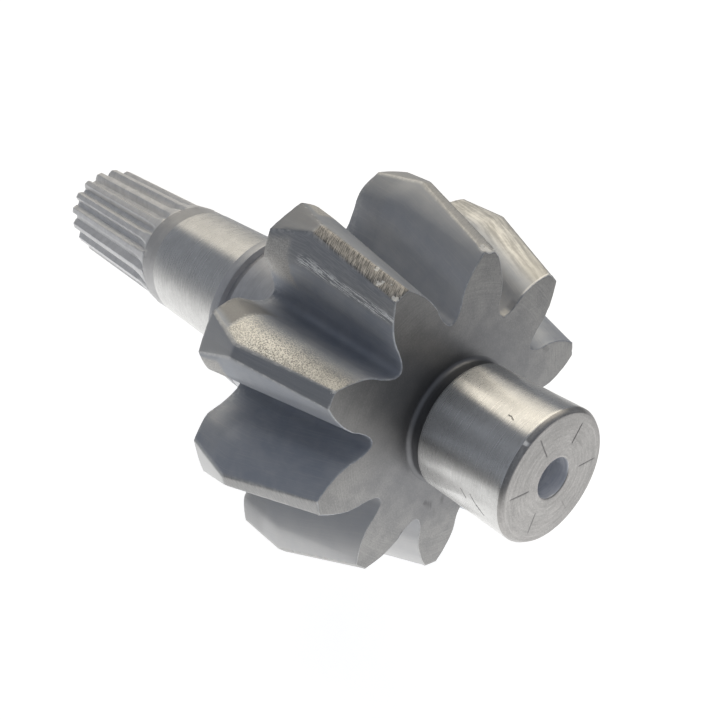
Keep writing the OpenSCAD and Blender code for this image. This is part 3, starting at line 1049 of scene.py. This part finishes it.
def tips_and_crowns(tree, tooth, tint):
    """Tip lands, plain or torn, and the worn crowns at the large end."""
    torn = mix(tree, ramp(tree, tooth.hatch, 0.38, 0.62), *TORN_TIPS)
    plain = mix(tree, ramp(tree, tooth.streaks, 0.4, 0.7), *PLAIN_TIPS)
    plain = mix(tree, value_of(tree, "bare"), plain, BARE_TIP)
    tint = mix(tree, times(tree, tooth.tip, 0.9), tint, mix(tree, tooth.hatched, plain, torn))
    worn = mix(tree, value_of(tree, "crowned"), *CROWNS)
    return mix(tree, times(tree, tooth.land, less(tree, tooth.cone), 0.7), tint, worn)


def score_lines(tree, tooth):
    """Strength of the bright score lines along one flank, and of the faint ones above them."""
    threads = ramp(tree, noise(tree, tooth.stretched(0.35, 4.0), 1.0, 3.0, 0.65), 0.48, 0.53)
    away = math_node(tree, "ABSOLUTE", plus(tree, tooth.height, -SCORE_HEIGHT))
    ended = ramp(tree, tooth.length, 18.5, 21.0, 1.0, 0.0)
    line = times(tree, ramp(tree, away, 0.02, 0.08, 1.0, 0.0), ended)
    broken = ramp(tree, tooth.grit, 0.38, 0.5, 0.35, 1.0)
    upper = times(tree, ramp(tree, tooth.height, 0.7, 0.8, 0.0, 0.16), tooth.off_land)
    lined = times(tree, tooth.scored, threads)
    return times(tree, lined, line, broken), times(tree, lined, upper)


def tooth_finish(tree, shader, tooth, scores, edge, chips):
    """Metal, roughness and relief of the teeth."""
    torn = times(tree, scores, TOOTH_METAL)
    for share, amount in ((chips, 0.6), (tooth.bitten, 0.28), (edge, 0.4)):
        torn = math_node(tree, "MAXIMUM", torn, times(tree, share, amount))
    feed(tree, shader.inputs["Metallic"], math_node(tree, "SUBTRACT", TOOTH_METAL, torn))
    rough = ramp(tree, tooth.height, 0.74, 0.8, 0.52, 0.46)
    dry = plus(tree, tooth.heel, tooth.dull_and_shaded, tooth.root)
    for share, amount in ((dry, 0.1), (tooth.bitten, -0.12), (tooth.grain, 0.08)):
        rough = plus(tree, rough, times(tree, share, amount))
    feed(tree, shader.inputs["Roughness"], rough)
    coarse = plus(tree, times(tree, tooth.bitten, 1.2), times(tree, tooth.heel, 0.4), 0.06)
    hatching = times(tree, tooth.hatch, tooth.tip, tooth.hatched, 0.5)
    relief = plus(tree, times(tree, tooth.grit, coarse), times(tree, tooth.streaks, 0.15), hatching)
    bump(tree, shader, plus(tree, relief, times(tree, chips, 0.5)), 1.0, 0.06)


def tooth_steel():
    """Flanks, tips and crowns of the teeth, each tooth with its own wear, painted light and painted shade.
    """
    material, tree, shader = new_material("tooth steel")
    tooth = ToothField(tree)
    tint = plain_flank(tree, tooth)
    for section in (rusty_heel_and_light, gritty_flank, beige_flank, tips_and_crowns):
        tint = section(tree, tooth, tint)
    scores, faint = score_lines(tree, tooth)
    tint = mix(tree, faint, tint, BRIGHT)
    tint = mix(tree, scores, tint, SCORE_WHITE)
    breaks = ramp(tree, noise(tree, tooth.place, 1.1, 2.0), 0.46, 0.62, 0.08, 1.0)
    edge = times(tree, value_of(tree, "edge"), breaks)
    # Worn edges, brightened partly as a painted highlight.
    tint = mix(tree, times(tree, edge, 0.45), tint, BRIGHT)
    chip = value_of(tree, "chip")
    ragged = plus(tree, chip, times(tree, plus(tree, tooth.grain, -0.5), 2.2))
    chips = times(tree, ramp(tree, ragged, 0.45, 0.7), ramp(tree, chip, 0.02, 0.15))
    tint = mix(tree, times(tree, chips, 0.8), tint, BRIGHT)
    feed(tree, shader.inputs["Base Color"], tint)
    tooth_finish(tree, shader, tooth, scores, edge, chips)
    return material


BORE_GREYS = ((0.70, 0.72, 0.77, 1), (0.86, 0.87, 0.90, 1))


def bored_steel():
    """Drilled hole and turning centre, with faint rings from the drill."""
    material, tree, shader = new_material("bored steel")
    shader.inputs["Metallic"].default_value = 0.3
    place, z, r, unit = shaft_coordinates(tree)
    rings = noise(tree, lines_around(tree, unit, z, 0.8, 1.4), 1.0, 3.0, 0.6)
    tint = mix(tree, ramp(tree, rings, 0.35, 0.65), *BORE_GREYS)
    feed(tree, shader.inputs["Base Color"], tint)
    shader.inputs["Roughness"].default_value = 0.36
    bump(tree, shader, rings, 0.4, 0.04)
    return material


# The table, the light and the camera
SKY = (0.232, 0.248, 0.28, 1)
WINDOW = (1.85, 1.72, 1.48, 1)
WINDOW_SIDES = (55, 95, 176, 192)
WINDOW_HEIGHTS = (26, 33, 66, 76)
TABLE_HALF = 3.0
TABLE_GLOW = 1.2
TABLE_FADE = 0.19
TABLE_STRETCH = 0.45
TABLE_MIDDLE = (0.012, 0.0, 0.0)
TABLE_WHITE = 0.88
TABLE_SHADE = (0.4, 0.4, 0.4, 1)
BLACK = (0, 0, 0, 1)
CAMERA_LENS = 38.956
CAMERA_SENSOR = 36.0
CAMERA_PLACE = (0.135278, -0.075752, 0.146954)
CAMERA_AHEAD = (-0.58711, 0.46311, -0.66395)
CAMERA_RIGHT = (0.62406, 0.78135, -0.00684)


def between(tree, angle, degrees):
    """1 between the two middle angles, 0 outside the outer two."""
    first, second, third, fourth = map(math.radians, degrees)
    return times(tree, ramp(tree, angle, first, second), ramp(tree, angle, third, fourth, 1.0, 0.0))


def room_light():
    """White to the camera, otherwise a dim room with one warm window."""
    world = bpy.data.worlds.new("room")
    bpy.context.scene.world = world
    world.use_nodes = True
    tree = world.node_tree
    tree.nodes.clear()
    way = add_node(tree, "TexCoord").outputs["Generated"]
    parts = add_node(tree, "SeparateXYZ")
    tree.links.new(way, parts.inputs[0])
    turn = math_node(tree, "ARCTAN2", parts.outputs["Y"], parts.outputs["X"])
    turn = math_node(tree, "FLOORED_MODULO", turn, 2 * math.pi)
    up = math_node(tree, "ARCSINE", parts.outputs["Z"])
    share = times(tree, between(tree, turn, WINDOW_SIDES), between(tree, up, WINDOW_HEIGHTS))
    seen = mix(tree, share, SKY, WINDOW)
    path = add_node(tree, "LightPath")
    shown = mix(tree, path.outputs["Is Camera Ray"], seen, WHITE)
    back = add_node(tree, "Background")
    tree.links.new(shown, back.inputs["Color"])
    out = add_node(tree, "OutputWorld")
    tree.links.new(back.outputs[0], out.inputs["Surface"])


def table_glow(tree):
    """Light of the table in reflections, fading away from the part."""
    place = add_node(tree, "TexCoord").outputs["Object"]
    shorter = vector_node(tree, "MULTIPLY", place, (TABLE_STRETCH, 1.0, 1.0))
    part = math_node(tree, "DIVIDE", vector_node(tree, "DISTANCE", shorter, TABLE_MIDDLE), TABLE_FADE)
    return math_node(tree, "DIVIDE", TABLE_GLOW, plus(tree, times(tree, part, part), 1.0))


def white_table():
    """Plain white to the camera, with a very faint shadow, and glowing in reflections."""
    material = bpy.data.materials.new("table")
    material.use_nodes = True
    tree = material.node_tree
    tree.nodes.clear()
    seen = add_node(tree, "LightPath").outputs["Is Camera Ray"]
    glow = times(tree, table_glow(tree), less(tree, seen))
    light = add_node(tree, "Emission")
    tree.links.new(plus(tree, glow, times(tree, seen, TABLE_WHITE)), light.inputs["Strength"])
    cloth = add_node(tree, "BsdfDiffuse")
    feed(tree, cloth.inputs["Color"], mix(tree, seen, BLACK, TABLE_SHADE))
    both = add_node(tree, "AddShader")
    tree.links.new(light.outputs[0], both.inputs[0])
    tree.links.new(cloth.outputs[0], both.inputs[1])
    out = add_node(tree, "OutputMaterial")
    tree.links.new(both.outputs[0], out.inputs["Surface"])
    return material


def table():
    """Wide table top under the part."""
    mesh = bpy.data.meshes.new("table")
    low, high = -TABLE_HALF, TABLE_HALF
    mesh.from_pydata([(low, low, 0), (high, low, 0), (high, high, 0), (low, high, 0)], [], [(0, 1, 2, 3)])
    top = bpy.data.objects.new("table", mesh)
    bpy.context.scene.collection.objects.link(top)
    mesh.materials.append(white_table())


def camera():
    """Camera fitted to the part's outline."""
    data = bpy.data.cameras.new("camera")
    data.sensor_width = CAMERA_SENSOR
    data.lens = CAMERA_LENS
    data.clip_start = 0.01
    view = bpy.data.objects.new("camera", data)
    bpy.context.scene.collection.objects.link(view)
    ahead = Vector(CAMERA_AHEAD).normalized()
    right = Vector(CAMERA_RIGHT).normalized()
    up = right.cross(ahead).normalized()
    turn = Matrix((right, up, -ahead)).transposed().to_4x4()
    turn.translation = Vector(CAMERA_PLACE)
    view.matrix_world = turn
    bpy.context.scene.camera = view


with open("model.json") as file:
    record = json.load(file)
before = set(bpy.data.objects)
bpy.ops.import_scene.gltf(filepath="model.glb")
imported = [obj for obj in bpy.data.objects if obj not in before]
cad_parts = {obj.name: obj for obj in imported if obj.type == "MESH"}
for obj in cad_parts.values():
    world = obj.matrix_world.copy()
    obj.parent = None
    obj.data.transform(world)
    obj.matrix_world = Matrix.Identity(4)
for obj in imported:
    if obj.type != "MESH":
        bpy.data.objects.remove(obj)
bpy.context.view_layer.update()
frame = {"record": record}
lying = shaft_place(frame["record"])

gear_strip = Strip(GEAR_COLS)
front_end(gear_strip)
toothed_part(gear_strip)
gear_rows, gear_mark = dent_front(gear_strip)
gear = strip_object("gear_end", gear_strip, gear_rows)
tooth_values(gear.data, gear_strip, gear_mark)

shaft_strip = Strip(SHAFT_COLS)
shoulder(shaft_strip)
rear_journal(shaft_strip)
splined_end(shaft_strip)
shaft = strip_object("shaft_end", shaft_strip, shaft_strip.arrays())

finishes = {
    END: turned_steel("end face", (0.455, 0.443, 0.43), 0.38, True,
                      speckle=0.6, lined=0.9, rate=1.7, nicked=True),
    JOURNAL: ground_steel(),
    # The relief's dark colour is painted shade in the groove and its fillet.
    RELIEF: turned_steel("relief", (0.22, 0.222, 0.23), 0.45, False),
    FACE: toe_steel(),
    TOOTH: tooth_steel(),
    BACK: turned_steel("back face", (0.5, 0.5, 0.5), 0.4, True, speckle=0.3, lined=0.6),
    SHOULDER: turned_steel("shoulder", (0.60, 0.605, 0.62), 0.4, False, metal=0.7),
    GROOVE: turned_steel("ring groove", (0.48, 0.48, 0.50), 0.4, False, metal=0.6),
    SPLINE: turned_steel("spline", (0.82, 0.815, 0.81), 0.46, False, metal=0.4, speckle=0.15, lined=0.2),
    HOLE: bored_steel(),
    REAR: turned_steel("turned band", (0.56, 0.555, 0.55), 0.42, False, metal=0.5),
}
for piece in (gear, shaft):
    for zone in range(len(finishes)):
        piece.data.materials.append(finishes[zone])
    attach(piece, "root")
    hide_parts("pinion_shaft")

room_light()
table()
camera()
bpy.context.scene.view_settings.view_transform = "Standard"
